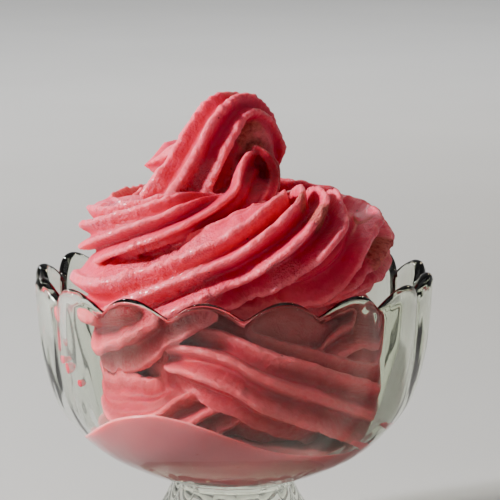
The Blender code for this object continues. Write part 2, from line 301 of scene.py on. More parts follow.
# How uneven the ice is in plain, frosty and torn places, in layers of (size of the features, height).
PLAIN_ROUGHNESS = ((2.4, 0.06), (1.0, 0.035))
FROST_ROUGHNESS = ((1.5, 0.2), (0.8, 0.09))
TORN_ROUGHNESS = ((1.3, 0.22), (0.8, 0.1))

# The solid middle that the turns lean on: (radius, height).
CORE = ((20.0, -42.0), (24.0, -32.0), (27.0, -20.0), (27.5, -4.0), (25.5, 6.0), (14.0, 14.0), (6.0, 24.0))

# The ice's colours: a valley, darker as painted shade, a crest, its edge, paler as a painted highlight,
# frost, both under the rim with painted shade, patches, dents, painted shade in a hollow, torn ice and its
# pits painted brown as shade, and specks of seed.
VALLEY_SHADE_RED = (0.60, 0.006, 0.058)
CREST_PINK = (0.78, 0.05, 0.118)
EDGE_HIGHLIGHT_PINK = (0.91, 0.17, 0.23)
FROST_PINK = (0.89, 0.22, 0.28)
UNDER_RIM_VALLEY_SHADE_RED = (0.36, 0.004, 0.03)
UNDER_RIM_CREST_PINK = (0.66, 0.09, 0.135)
PATCH_RED = (0.68, 0.03, 0.08)
DENT_RED = (0.50, 0.01, 0.04)
HOLLOW_SHADE_RED = (0.34, 0.004, 0.022)
TORN_SHADE_BROWN = (0.52, 0.115, 0.085)
TORN_PIT_SHADE_BROWN = (0.34, 0.04, 0.038)
SEED_RED = (0.16, 0.012, 0.02)

# The melted layer's two tones and its specks.
POOL_ROSE = (0.42, 0.08, 0.11)
POOL_PINK = (0.52, 0.135, 0.165)
POOL_SPECK_RED = (0.35, 0.04, 0.05)

# The glass in its thin and thick parts, what it mirrors, and what its shadow lets through.
THIN_GLASS = (0.81, 0.825, 0.79)
THICK_GLASS = (0.79, 0.85, 0.69)
GLASS_MIRROR = (0.45, 0.45, 0.45)
GLASS_SHADOW = (0.80, 0.80, 0.78)

# The floor's two tones.
FLOOR_GREY = (0.47, 0.47, 0.465)
FLOOR_PALE = (0.53, 0.53, 0.525)

# The ice's grain as features in a metre: fine and coarse pits, glints, patches of tone, and the cells that
# each hold a speck.
FINE_PITS = 2100.0
COARSE_PITS = 800.0
GLINTS = 1700.0
TONE_PATCHES = 110.0
SPECK_CELLS = 170.0

# Half the floor's side, and the sky's strength: at the horizon, at the least, and what it loses towards the
# top.
FLOOR_HALF_M = 6.0
SKY_LEVEL = 0.45
SKY_LEAST = 0.16
SKY_LOSS = 1.0

# The lamps round a point over the table: (name, turn to the right of the camera, lift, distance, size, power,
# colour), with distances and sizes in metres.
LIT_HEIGHT_M = 0.09
LIGHTS = (
    ("key", -74, 28, 1.4, (0.15, 0.15), 50.0, (1.0, 0.98, 0.95)),
    ("left strip", -112, 30, 1.2, (0.05, 0.8), 3.0, (1.0, 1.0, 1.0)),
    ("left edge", -152, 32, 1.2, (0.06, 0.4), 4.0, (1.0, 1.0, 1.0)),
    ("right strip", 70, 32, 1.2, (0.03, 0.8), 0.5, (1.0, 0.95, 0.85)),
    ("right edge", 155, 30, 1.2, (0.05, 0.4), 1.5, (1.0, 0.8, 0.5)),
    ("overhead", 0, 89, 1.2, (1.0, 1.0), 2.0, (1.0, 1.0, 1.0)),
)

# The lamp that lights the floor behind the dish and faces away from the dish: place, aim and size in metres,
# and power.
BACKDROP_LAMP = ((0.0, 1.25, 1.25), (0.0, 3.1, 0.0), (1.2, 1.2), 30.0)

# The camera, and the point beside and over the rim's middle that it looks at.
CAMERA_LENS = 193.5
CAMERA_LIFT = 10
CAMERA_DISTANCE_M = 0.7
AIM_RIGHT_M = 0.0044
AIM_OVER_RIM_M = 0.0071


def over_table(points):
    """Points in millimetres from the rim plane as points in metres from the table."""
    return (np.asarray(points, float) + (0.0, 0.0, RIM_HEIGHT)) * MM


def add_object(name, points, faces):
    """An object from points in millimetres from the rim plane, shaded smooth."""
    mesh = bpy.data.meshes.new(name)
    mesh.from_pydata(over_table(points).tolist(), [], faces)
    outward = bmesh.new()
    outward.from_mesh(mesh)
    bmesh.ops.recalc_face_normals(outward, faces=outward.faces)
    outward.to_mesh(mesh)
    outward.free()
    mesh.shade_smooth()
    obj = bpy.data.objects.new(name, mesh)
    bpy.context.scene.collection.objects.link(obj)
    return obj


def between(at, one, two, low, high):
    """The straight mixture of two rows: all of one at the low knot, all of two at the high knot."""
    return ((high - at) * one + (at - low) * two) / (high - low)


def curve_through(points, parts):
    """Centripetal Catmull-Rom curve through rows of values, with this many parts between two rows."""
    rows = np.asarray(points, float)
    rows = np.vstack([2 * rows[0] - rows[1], rows, 2 * rows[-1] - rows[-2]])
    found = []
    for before, start, end, after in zip(rows, rows[1:], rows[2:], rows[3:]):
        knots = [0.0]
        for one, two in ((before, start), (start, end), (end, after)):
            knots.append(knots[-1] + np.linalg.norm((two - one)[:3]) ** 0.5)
        at = np.linspace(knots[1], knots[2], parts, endpoint=False)[:, None]
        first = between(at, before, start, knots[0], knots[1])
        second = between(at, start, end, knots[1], knots[2])
        third = between(at, end, after, knots[2], knots[3])
        left = between(at, first, second, knots[0], knots[2])
        right = between(at, second, third, knots[1], knots[3])
        found.append(between(at, left, right, knots[1], knots[2]))
    return np.vstack([*found, rows[-2:-1]])


def round_axis(turns, radii, heights):
    """Points at these turns, distances from the dish's axis and heights."""
    angles = np.radians(turns)
    return np.stack(np.broadcast_arrays(radii * np.cos(angles), radii * np.sin(angles), heights), -1)


def ring_faces(rings, columns):
    """Quads between closed rings of points."""
    faces = []
    for ring in range(rings - 1):
        for column in range(columns):
            beside = (column + 1) % columns
            low, high = ring * columns, (ring + 1) * columns
            faces.append((low + column, low + beside, high + beside, high + column))
    return faces


def closed_by_poles(rings, columns, first_pole, last_pole):
    """Quads between rings and a fan of triangles at each end."""
    faces = ring_faces(rings, columns)
    last = (rings - 1) * columns
    for column in range(columns):
        beside = (column + 1) % columns
        faces.append((first_pole, beside, column))
        faces.append((last_pole, last + column, last + beside))
    return faces


def closed_by_caps(rings, columns):
    """Quads between rings and one flat face at each end."""
    faces = ring_faces(rings, columns)
    last = (rings - 1) * columns
    faces.append(tuple(range(columns))[::-1])
    faces.append(tuple(range(last, last + columns)))
    return faces


def smooth_noise(places, cell, seed):
    """Noise between -1 and 1 with features of this size, at rows of three coordinates."""
    knots = 64
    table = np.random.default_rng(seed).uniform(-1, 1, (knots, knots, knots))
    at = np.asarray(places, float) / cell
    low = np.floor(at).astype(int)
    part = at - low
    part = part * part * (3 - 2 * part)
    total = np.zeros(len(at))
    for corner in product((0, 1), repeat=3):
        weight = np.prod(np.where(corner, part, 1 - part), axis=1)
        x, y, z = ((low + corner) % knots).T
        total += weight * table[x, y, z]
    return total


def hollow_at(turns):
    """Nought in the middle of a petal and one in a crease, with a rounded bottom."""
    wave = np.cos(np.radians(turns - PETAL_TURN) * PETALS / 2)
    return 1 - (np.sqrt(wave ** 2 + CREASE_SOFTNESS ** 2) - CREASE_SOFTNESS * np.abs(wave))


def wall_radius(turns, heights):
    """The inner wall's distance from the axis."""
    inside = curve_through(BOWL_IN, OUTLINE_PARTS)[::-1]
    hollow = hollow_at(turns)
    straight = heights + np.interp(heights, inside[:, 1], inside[:, 3]) * RIM_DIP * hollow
    petal = np.interp(straight, inside[:, 1], inside[:, 0])
    return petal - np.interp(straight, inside[:, 1], inside[:, 2]) * hollow


def glass_dish():
    """The foot, the stem and the bowl in one turned skin, with a crease between two petals."""
    turns = PETAL_TURN + np.arange(PETALS * PETAL_COLUMNS) * 360.0 / (PETALS * PETAL_COLUMNS)
    outline = np.vstack([
        curve_through(FOOT_UNDER, OUTLINE_PARTS),
        FOOT_RING[:-1],
        curve_through(FOOT_TOP, OUTLINE_PARTS)[:-1],
        curve_through(BOWL_OUT, OUTLINE_PARTS)[:-1],
        curve_through(LIP, OUTLINE_PARTS)[:-1],
        curve_through(BOWL_IN, OUTLINE_PARTS),
    ])
    hollow = hollow_at(turns)
    rings = [
        round_axis(turns, radius - crease * hollow, height - dip * RIM_DIP * hollow)
        for radius, height, crease, dip in outline[1:-1]
    ]
    count = len(rings) * len(turns)
    points = np.vstack([*rings, (0, 0, outline[0][1]), (0, 0, outline[-1][1])])
    return add_object("dish", points, closed_by_poles(len(rings), len(turns), count, count + 1))


def pool_top(turns, radii):
    """Height of the melted layer's surface."""
    aside = (turns - POOL_HEAP_TURN + 180.0) % 360.0 - 180.0
    heap = POOL_HEAP * (radii / POOL_HEAP_RADIUS) ** 2 * np.exp(-((aside / POOL_HEAP_WIDTH) ** 2))
    return POOL_LEVEL + heap


def melted_pool():
    """The melted layer, which reaches just into the wall."""
    turns = np.arange(POOL_COLUMNS) * 360.0 / POOL_COLUMNS
    shore = np.full(POOL_COLUMNS, POOL_HEAP_RADIUS)
    # The shore lies where the surface meets the sloping wall, which a few rounds find.
    for _ in range(12):
        shore_height = pool_top(turns, shore)
        shore = wall_radius(turns, shore_height) + WETTING
    rings = []
    for share in np.linspace(0.05, 1.0, POOL_RINGS):
        rings.append(round_axis(turns, shore * share, pool_top(turns, shore * share)))
    bottom = BOWL_IN[-1][1] - WETTING
    for share in np.linspace(0.96, 0.0, POOL_RINGS):
        low = bottom + POOL_LOWEST_RING + (shore_height - bottom - POOL_LOWEST_RING) * share
        rings.append(round_axis(turns, wall_radius(turns, low) + WETTING, low))
    count = len(rings) * POOL_COLUMNS
    points = np.vstack([*rings, (0, 0, POOL_LEVEL), (0, 0, bottom)])
    return add_object("pool", points, closed_by_poles(len(rings), POOL_COLUMNS, count, count + 1))


def laid_path():
    """The rows of the turns and the last loop as (x, y, height, rope radius, twist)."""
    rows = []
    for turn, away, height, radius, twist in TURNS:
        angle = math.radians(turn)
        rows.append((away * math.cos(angle), away * math.sin(angle), height, radius, twist))
    return rows + list(LAST_LOOP)


def even_steps(rows):
    """A route at even steps: (rows, distance along it, distance along it at each given row)."""
    path = curve_through(rows, ROUTE_PARTS)
    lengths = np.linalg.norm(np.diff(path[:, :3], axis=0), axis=1)
    along = np.concatenate([[0.0], np.cumsum(lengths)])
    even = np.linspace(0.0, along[-1], int(along[-1] / ROPE_STEP))
    steady = np.stack([np.interp(even, along, column) for column in path.T], -1)
    return steady, even, along[::ROUTE_PARTS]


def rope_frames(middle, even, guided, outward):
    """At each step, the directions that twist 0 and 90 point in, carried on past the guided part."""
    ahead = np.gradient(middle, axis=0)
    ahead /= np.linalg.norm(ahead, axis=1)[:, None]
    for step in range(len(middle)):
        if step and even[step] > guided:
            outward[step] = outward[step - 1]
        outward[step] -= (outward[step] @ ahead[step]) * ahead[step]
        outward[step] /= np.linalg.norm(outward[step])
    return outward, np.cross(outward, ahead)


def star_section(lobes):
    """The rope's section, side by side: lobe number with its fraction, and height from valley to crest."""
    turn = lobes * np.arange(ROPE_SIDES) / ROPE_SIDES
    lobe = np.round(turn) % lobes
    from_crest = np.abs((turn + 0.5) % 1.0 - 0.5) * 2
    flat = np.where((lobe == BROAD_LOBE) & (lobes == LOBES), BROAD_FLAT, CREST_FLAT)
    raised = 1 - np.sin(math.pi / 2 * np.clip((from_crest - flat) / (1 - flat), 0, 1)) ** CREST_FALL
    if lobes == LOBES:
        raised[lobe == WORN_LOBE] *= WORN_HEIGHT
        raised[(turn > BROAD_LOBE) & (turn < BROAD_LOBE + 1)] = FILLED_HEIGHT
    return turn, raised


# A rope's points and faces, each point's nearness to a crest, and its place along and across the rope.
Rope = namedtuple("Rope", "points faces crests flows")


def on_rope(even, turn, lobe_width, height=0.0):
    """Each point's place along and across the rope, and this height, as rows of three."""
    return np.stack(np.broadcast_arrays(even[:, None], lobe_width * turn, height), -1).reshape(-1, 3)


def tube(steady, even, outward, upward, turn, raised, bite_height):
    """The rope on this route, with a row of lobe heights for each ring."""
    start_height = steady[:1, 2]
    bites = smooth_noise(on_rope(even, turn, BITTEN_LOBE, start_height), BITE_LENGTH, seed=8)
    share = np.interp(steady[:, 2], *zip(*BITES_LEFT))[:, None]
    raised = raised + bite_height * share * bites.reshape(raised.shape) * np.maximum(raised, 0)
    blunt = np.sqrt(np.clip(np.minimum(even / BLUNT_START, (even[-1] - even) / BLUNT_END), BLUNT_TIP, 1))
    angles = np.arange(ROPE_SIDES) * 2 * math.pi / ROPE_SIDES
    rings = []
    for middle, out, up, end, heights in zip(steady, outward, upward, blunt, raised):
        at = angles + math.radians(middle[4])
        size = middle[3] * end * (1 - VALLEY_DEPTH * (1 - heights))
        rings.append(middle[:3] + (size * np.cos(at))[:, None] * out + (size * np.sin(at))[:, None] * up)
    # The lowest part of a lobe counts as valley.
    near_crest = np.clip(raised * 1.4 - 0.4, 0, 1)
    return Rope(
        points=np.vstack(rings),
        faces=closed_by_caps(len(rings), ROPE_SIDES),
        crests=near_crest.ravel(),
        flows=on_rope(even, turn, GROOVED_LOBE, start_height),
    )


def laid_rope():
    """The turns and the last loop. The side that the peak rises from sinks away at the end."""
    steady, even, marks = even_steps(laid_path())
    from_axis = steady[:, :3] * (1.0, 1.0, 0.0)
    outward, upward = rope_frames(steady[:, :3], even, marks[len(TURNS) - 1], from_axis)
    turn, raised = star_section(LOBES)
    start, end = marks[len(TURNS) - 3], marks[len(TURNS) - 2]
    sinking = np.clip((even - start) / (end - start), 0, 1)[:, None]
    sunk = np.clip(np.minimum(turn - SUNK_FROM, SUNK_TO - turn) / SUNK_SLOPE, 0, 1)
    sunk += np.clip((turn - LOBES - SUNK_FROM) / SUNK_SLOPE, 0, 1)
    raised = raised + sinking * sunk * (SUNK_HEIGHT - raised)
    return tube(steady, even, outward, upward, turn, raised, LAID_BITES)


def free_rope(rows, lobes, wrinkle_height=0.0):
    """A rope whose twist 0 faces the front where it starts."""
    steady, even, _ = even_steps(rows)
    to_front = np.tile((0.0, -1.0, 0.0), (len(steady), 1))
    outward, upward = rope_frames(steady[:, :3], even, 0.0, to_front)
    turn, raised = star_section(lobes)
    wrinkled = np.interp(even, PEAK_WRINKLED, (0, 1, 1, 0))[:, None]
    sway = smooth_noise(on_rope(even / WRINKLE_SWAY, turn, 1.0), 1.0, seed=12).reshape(len(even), -1)
    wrinkles = wrinkled * np.sin(2 * math.pi * (even[:, None] / WRINKLE_SPACING + 0.5 * sway))
    raised = raised + wrinkle_height * wrinkles * np.clip(raised * 1.5, 0, 1)
    return tube(steady, even, outward, upward, turn, raised, PEAK_BITES)


def lump(middle, half_sizes):
    """An ellipsoid, as points and faces."""
    rows, columns = 24, 32
    down = np.linspace(0.05, math.pi - 0.05, rows)[:, None]
    ball = round_axis(np.arange(columns) * 360.0 / columns, np.sin(down), np.cos(down))
    return middle + ball.reshape(-1, 3) * half_sizes, closed_by_caps(rows, columns)


def joined(*shapes):
    """Several (points, faces) as one."""
    points, faces = [], []
    for more_points, more_faces in shapes:
        before = sum(map(len, points))
        faces += [tuple(corner + before for corner in face) for face in more_faces]
        points.append(more_points)
    return np.vstack(points), faces


def core():
    """The solid middle, as points and faces."""
    columns = 64
    turns = np.arange(columns) * 360.0 / columns
    rings = [round_axis(turns, radius, height) for radius, height in CORE]
    return np.vstack(rings), closed_by_caps(len(rings), columns)


def smears():
    """Small patches of ice pressed on the wall."""
    patches = []
    for turn, height, width, tall in SMEARS:
        points, faces = lump((0.0, 0.0, 0.0), (SMEAR_THICKNESS, width, tall))
        ragged = 1 + SMEAR_RAGGEDNESS * smooth_noise(points + turn, SMEAR_GRAIN, seed=17)
        inward, aside, up = (points * ragged[:, None]).T
        turns, heights = turn + np.degrees(aside / SMEARED_WALL), height + up
        radii = wall_radius(turns, heights) + np.minimum(inward, WETTING)
        patches.append((round_axis(turns, radii, heights), faces))
    return add_object("smears", *joined(*patches))


def apply_modifiers(obj):
    """Makes the object's shape what its modifiers have made of it."""
    bpy.context.view_layer.update()
    evaluated = obj.evaluated_get(bpy.context.evaluated_depsgraph_get())
    made = bpy.data.meshes.new_from_object(evaluated)
    obj.modifiers.clear()
    obj.data = made


def drop_scraps(obj):
    """Leaves only the largest connected piece of a mesh."""
    shape = bmesh.new()
    shape.from_mesh(obj.data)
    unseen = set(shape.verts)
    largest = []
    while unseen:
        piece = [unseen.pop()]
        for vertex in piece:
            for edge in vertex.link_edges:
                other = edge.other_vert(vertex)
                if other in unseen:
                    unseen.remove(other)
                    piece.append(other)
        largest = max(largest, piece, key=len)
    kept = set(largest)
    bmesh.ops.delete(shape, geom=[vertex for vertex in shape.verts if vertex not in kept], context="VERTS")
    shape.to_mesh(obj.data)
    shape.free()


def vertex_places(mesh):
    """Where a mesh's vertices are, in millimetres from the rim plane."""
    places = np.empty(len(mesh.vertices) * 3)
    mesh.vertices.foreach_get("co", places)
    return places.reshape(-1, 3) / MM - (0.0, 0.0, RIM_HEIGHT)


def set_places(mesh, places):
    """Moves a mesh's vertices to these places."""
    mesh.vertices.foreach_set("co", over_table(places).ravel())
    mesh.update()


def vertex_normals(mesh):
    """The directions that a mesh's vertices face in."""
    normals = np.empty(len(mesh.vertices) * 3)
    mesh.vertex_normals.foreach_get("vector", normals)
    return normals.reshape(-1, 3)


def keep_on(mesh, name, values):
    """Keeps a number or a vector for each vertex, for the material to read."""
    kind, field = ("FLOAT", "value") if values.ndim == 1 else ("FLOAT_VECTOR", "vector")
    kept = mesh.attributes.new(name, kind, "POINT")
    kept.data.foreach_set(field, values.astype(np.float32).ravel())


def nearest_rows(points, places):
    """For each place, the row of the nearest point."""
    tree = KDTree(len(points))
    for row, point in enumerate(points):
        tree.insert(point, row)
    tree.balance()
    return np.array([tree.find(place)[1] for place in places])


def near(places, spots):
    """One inside round spots, falling to nought half a radius outside them."""
    nearness = np.zeros(len(places))
    for *middle, radius in spots:
        away = np.linalg.norm(places - middle, axis=1)
        nearness = np.maximum(nearness, np.clip(3 - 2 * away / radius, 0, 1))
    return nearness


def uneven(places, layers, seed):
    """Noise in layers of (size of the features, height)."""
    return sum(height * smooth_noise(places, size, seed + row) for row, (size, height) in enumerate(layers))


def frost_at(places):
    """How frosty the ice is, from nought to one, in clouds round the frosty spots."""
    clouds = 0.75 + 0.6 * smooth_noise(places, 3.0, seed=5)
    return np.clip(near(places, FROSTY_SPOTS) * clouds, 0, 1)


def torn_at(places):
    """How torn the ice is, from nought to one, with ragged borders."""
    ragged = 1.0 + 0.7 * smooth_noise(places, 2.0, seed=9)
    return np.clip(near(places, TORN_SPOTS) * ragged * 1.4 - 0.2, 0, 1)


def grown_together(ropes):
    """An object whose one skin covers the ropes, the lumps under them and the core."""
    shapes = [(rope.points, rope.faces) for rope in ropes]
    shapes += [lump(*sizes) for sizes in LUMPS]
    swirl = add_object("swirl", *joined(*shapes, core()))
    skin = swirl.modifiers.new("one skin", "REMESH")
    skin.mode = "VOXEL"
    skin.voxel_size = SKIN_GRAIN * MM
    skin.use_smooth_shade = True
    apply_modifiers(swirl)
    drop_scraps(swirl)
    return swirl


def roughen(mesh):
    """Makes the skin uneven, most of all where it is frosty or torn."""
    places = vertex_places(mesh)
    height = uneven(places, PLAIN_ROUGHNESS, seed=20)
    height += frost_at(places) * uneven(places, FROST_ROUGHNESS, seed=30)
    height += torn_at(places) * uneven(places, TORN_ROUGHNESS, seed=40)
    set_places(mesh, places + vertex_normals(mesh) * height[:, None])


def thin_out(obj, most):
    """Joins facets until there are at most this many triangles."""
    fine = 2 * len(obj.data.polygons)
    if fine > most:
        thinned = obj.modifiers.new("fewer facets", "DECIMATE")
        thinned.ratio = most / fine
        apply_modifiers(obj)


def held_by_glass(places):
    """The same places, pressed against the inside of the bowl, and with no crest over the top of the peak."""
    x, y, height = places.T
    radii = np.hypot(x, y)
    rim = BOWL_IN[0][1]
    wall = wall_radius(np.degrees(np.arctan2(y, x)), np.minimum(height, rim - RIM_DIP)) + WETTING
    # The ice is free from a little over the rim.
    pressed = np.where(height > rim + 2, radii, np.minimum(radii, wall)) / radii
    # The last millimetre under the top levels off.
    over = np.maximum(height - PEAK_TOP + 1, 0)
    return np.stack([x * pressed, y * pressed, height + (1 - np.exp(-over) - over)], -1)


def soft_serve():
    """The ropes grown into one skin, roughened, and pressed against the glass."""
    ropes = [
        laid_rope(),
        free_rope(PEAK, PEAK_LOBES, WRINKLE_HEIGHT),
        free_rope(TOOTH, TOOTH_LOBES),
        free_rope(FOLD_RIM, RIM_LOBES),
        free_rope(FOLD_WALL, RIM_LOBES),
    ]
    swirl = grown_together(ropes)
    roughen(swirl.data)
    thin_out(swirl, SWIRL_TRIANGLES)
    places = vertex_places(swirl.data)
    nearest = nearest_rows(np.vstack([rope.points for rope in ropes]), places)
    places = held_by_glass(places)
    set_places(swirl.data, places)
    keep_on(swirl.data, "crest", np.concatenate([rope.crests for rope in ropes])[nearest])
    keep_on(swirl.data, "frost", frost_at(places))
    keep_on(swirl.data, "torn", torn_at(places))
    # Where deep red shade is painted in the hollows under the fold.
    keep_on(swirl.data, "shaded_hollow", near(places, SHADED_HOLLOW_SPOTS))
    # Where shade is painted on the ice under the rim, fading in over a few millimetres.
    keep_on(swirl.data, "shade_under_rim", np.clip((SHADE_BELOW - places[:, 2]) / SHADE_FADE, 0, 1))
    keep_on(swirl.data, "flow", np.vstack([rope.flows for rope in ropes])[nearest])
    swirl.data.shade_smooth()
    return swirl


class Tree:
    """A material's or a group's nodes, made by name and linked as they are made."""

    def __init__(self, owner):
        self.nodes, self.links = owner.nodes, owner.links

    def add(self, kind, values=None, **settings):
        """A node of this kind, with values or sockets for its inputs by name."""
        node = self.nodes.new(kind)
        for name, value in settings.items():
            setattr(node, name, value)
        for name, value in (values or {}).items():
            socket = node.inputs[name]
            if isinstance(value, bpy.types.NodeSocket):
                self.links.new(value, socket)
            else:
                socket.default_value = value
        return node


def new_group(name, inputs, outputs):
    """An empty shader group: (tree, input sockets, output node)."""
    group = bpy.data.node_groups.new(name, "ShaderNodeTree")
    for title, kind, value in inputs:
        socket = group.interface.new_socket(title, in_out="INPUT", socket_type=kind)
        if value is not None:
            socket.default_value = value
    for title, kind in outputs:
        group.interface.new_socket(title, in_out="OUTPUT", socket_type=kind)
    tree = Tree(group)
    return group, tree, tree.add("NodeGroupInput").outputs, tree.add("NodeGroupOutput")


def new_material(name):
    """A material with only its Principled shader and output: (material, tree, shader)."""
    made = bpy.data.materials.new(name)
    made.use_nodes = True
    tree = Tree(made.node_tree)
    return made, tree, made.node_tree.nodes["Principled BSDF"]


def mixed(tree, share, one, two):
    """A mixture of two, each of which is a colour or a socket."""
    node = tree.add("ShaderNodeMix", {"Factor": share}, data_type="RGBA")
    for socket, value in ((node.inputs["A"], one), (node.inputs["B"], two)):
        if isinstance(value, bpy.types.NodeSocket):
            tree.links.new(value, socket)
        else:
            socket.default_value = (*value, 1)
    return node.outputs["Result"]


def worked(tree, operation, *values, clamp=False):
    """The result of this operation on values or sockets."""
    node = tree.add("ShaderNodeMath", operation=operation, use_clamp=clamp)
    for socket, value in zip(node.inputs, values):
        if isinstance(value, bpy.types.NodeSocket):
            tree.links.new(value, socket)
        else:
            socket.default_value = value
    return node.outputs["Value"]


def stretched(tree, value, times, plus):
    """A value times one number plus another, kept between nought and one."""
    return worked(tree, "MULTIPLY_ADD", value, times, plus, clamp=True)


def noise(tree, place, features, detail):
    """Noise with this many features in a unit of the place."""
    settings = {"Vector": place, "Scale": features, "Detail": detail}
    return tree.add("ShaderNodeTexNoise", settings).outputs["Fac"]


def frozen_surface():
    """The grain of ice: its glints, dark specks, pits, patches of tone, fine grooves and uneven normal.

    Flow is the place along and across the rope in millimetres. The grooves run across the rope.
    """
    group, tree, given, result = new_group(
        "frozen surface",
        (
            ("Place", "NodeSocketVector", None),
            ("Flow", "NodeSocketVector", None),
            ("Roughening", "NodeSocketFloat", 0.2),
            ("Grooves", "NodeSocketFloat", 0.0),
        ),
        (
            ("Glint", "NodeSocketFloat"),
            ("Speck", "NodeSocketFloat"),
            ("Pits", "NodeSocketFloat"),
            ("Tone", "NodeSocketFloat"),
            ("Groove", "NodeSocketFloat"),
            ("Normal", "NodeSocketVector"),
        ),
    )
    place, rough = given["Place"], given["Roughening"]
    fine = noise(tree, place, FINE_PITS, 2.0)
    coarse = noise(tree, place, COARSE_PITS, 2.0)
    sharp = noise(tree, place, GLINTS, 1.0)
    tone = noise(tree, place, TONE_PATCHES, 3.0)
    cells = tree.add("ShaderNodeTexVoronoi", {"Vector": place, "Scale": SPECK_CELLS}).outputs["Distance"]
    drawn = tree.add("ShaderNodeMapping", {"Vector": given["Flow"], "Scale": (0.75, 0.16, 1.0)})
    lines = noise(tree, drawn.outputs["Vector"], 1.0, 2.0)
    grooved = worked(tree, "MULTIPLY", stretched(tree, tone, 3.5, -1.25), given["Grooves"])
    groove = worked(tree, "MULTIPLY", stretched(tree, lines, -4.0, 2.1), grooved)
    height = worked(tree, "ADD", worked(tree, "MULTIPLY", fine, 0.5), coarse)
    height = worked(tree, "MULTIPLY_ADD", groove, -0.5, height)
    strength = worked(tree, "ADD", worked(tree, "MULTIPLY", rough, 0.7), 0.28, clamp=True)
    bump = tree.add("ShaderNodeBump", {"Height": height, "Strength": strength, "Distance": 0.0011})
    found = {
        "Glint": worked(tree, "MULTIPLY", stretched(tree, sharp, 9.0, -4.4), rough),
        "Speck": stretched(tree, cells, -30.0, 2.1),
        "Pits": stretched(tree, coarse, -5.0, 2.6),
        "Tone": tone,
        "Groove": groove,
        "Normal": bump.outputs["Normal"],
    }
    for title, socket in found.items():
        tree.links.new(socket, result.inputs[title])
    return group


def ice_colour(tree, grain, crest, frost, torn, shaded_hollow, shade_under_rim):
    """Valleys painted deep red as shade, pink crests with edges painted paler as highlights, frosty, torn and
    dented places, painted shade under the rim and in hollows, and torn places painted brown as shade.
    """
    # The crests' edges are painted paler as a highlight, and the valleys darker as shade.
    edge = stretched(tree, crest, 3.0, -2.1)
    edge = worked(tree, "MULTIPLY", edge, worked(tree, "ADD", grain["Tone"], 0.25, clamp=True))
    colour = mixed(tree, crest, VALLEY_SHADE_RED, CREST_PINK)
    colour = mixed(tree, edge, colour, EDGE_HIGHLIGHT_PINK)
    colour = mixed(tree, worked(tree, "MULTIPLY", frost, 0.3), colour, FROST_PINK)
    # Under the rim, the valleys and crests take colours with painted shade, darkest in the valleys.
    colour = mixed(tree, shade_under_rim, colour, mixed(tree, crest, UNDER_RIM_VALLEY_SHADE_RED, UNDER_RIM_CREST_PINK))
    patches = stretched(tree, grain["Tone"], 2.0, -0.9)
    colour = mixed(tree, worked(tree, "MULTIPLY", patches, 0.7), colour, PATCH_RED)
    dents = worked(tree, "MAXIMUM", grain["Pits"], grain["Groove"])
    colour = mixed(tree, worked(tree, "MULTIPLY", dents, 0.3), colour, DENT_RED)
    # Deep red painted shade in the hollows under the fold.
    colour = mixed(tree, worked(tree, "MULTIPLY", shaded_hollow, 0.85), colour, HOLLOW_SHADE_RED)
    # Torn places are rough, and their brown is painted shade, darker in the pits.
    torn_shade = mixed(tree, grain["Pits"], TORN_SHADE_BROWN, TORN_PIT_SHADE_BROWN)
    colour = mixed(tree, worked(tree, "MULTIPLY", torn, 0.8), colour, torn_shade)
    return mixed(tree, grain["Speck"], colour, SEED_RED)


def ice_material(surface):
    """Soft strawberry ice that light passes a little way into, with glinting frost and dull torn places."""
    made, tree, shader = new_material("strawberry ice")
    crest, frost, torn, shaded_hollow, shade_under_rim = (
        tree.add("ShaderNodeAttribute", attribute_name=name).outputs["Fac"]
        for name in ("crest", "frost", "torn", "shaded_hollow", "shade_under_rim")
    )
    broken = worked(tree, "MAXIMUM", frost, torn)
    settings = {
        "Place": tree.add("ShaderNodeTexCoord").outputs["Object"],
        "Flow": tree.add("ShaderNodeAttribute", attribute_name="flow").outputs["Vector"],
        "Roughening": worked(tree, "ADD", broken, worked(tree, "MULTIPLY", crest, 0.3), clamp=True),
        "Grooves": 1.0,
    }
    grain = tree.add("ShaderNodeGroup", settings, node_tree=surface).outputs
    tree.links.new(ice_colour(tree, grain, crest, frost, torn, shaded_hollow, shade_under_rim), shader.inputs["Base Color"])
    tree.links.new(grain["Normal"], shader.inputs["Normal"])
    glint = worked(tree, "MULTIPLY", grain["Glint"], worked(tree, "SUBTRACT", 1.0, torn))
    dull = worked(tree, "MULTIPLY_ADD", torn, 0.3, 0.5)
    tree.links.new(worked(tree, "MULTIPLY_ADD", glint, -0.3, dull), shader.inputs["Roughness"])
    tree.links.new(glint, shader.inputs["Coat Weight"])
    tree.links.new(worked(tree, "MULTIPLY_ADD", torn, -0.85, 1.0), shader.inputs["Subsurface Weight"])
    shader.inputs["Subsurface Radius"].default_value = (1.0, 0.15, 0.2)
    shader.inputs["Subsurface Scale"].default_value = 0.0012
    shader.inputs["Coat Roughness"].default_value = 0.2
    shader.inputs["IOR"].default_value = 1.36
    return made


def pool_material(surface):
    """The melted layer, smooth and wet."""
    made, tree, shader = new_material("melted ice")
    grain = tree.add("ShaderNodeGroup", node_tree=surface)
    tree.links.new(tree.add("ShaderNodeTexCoord").outputs["Object"], grain.inputs["Place"])
    grain.inputs["Roughening"].default_value = 0.0
    colour = mixed(tree, grain.outputs["Tone"], POOL_ROSE, POOL_PINK)
    colour = mixed(tree, grain.outputs["Speck"], colour, POOL_SPECK_RED)
    tree.links.new(colour, shader.inputs["Base Color"])
    shader.inputs["Roughness"].default_value = 0.2
    shader.inputs["Subsurface Weight"].default_value = 1.0
    shader.inputs["Subsurface Radius"].default_value = (1.0, 0.3, 0.28)
    shader.inputs["Subsurface Scale"].default_value = 0.003
    return made


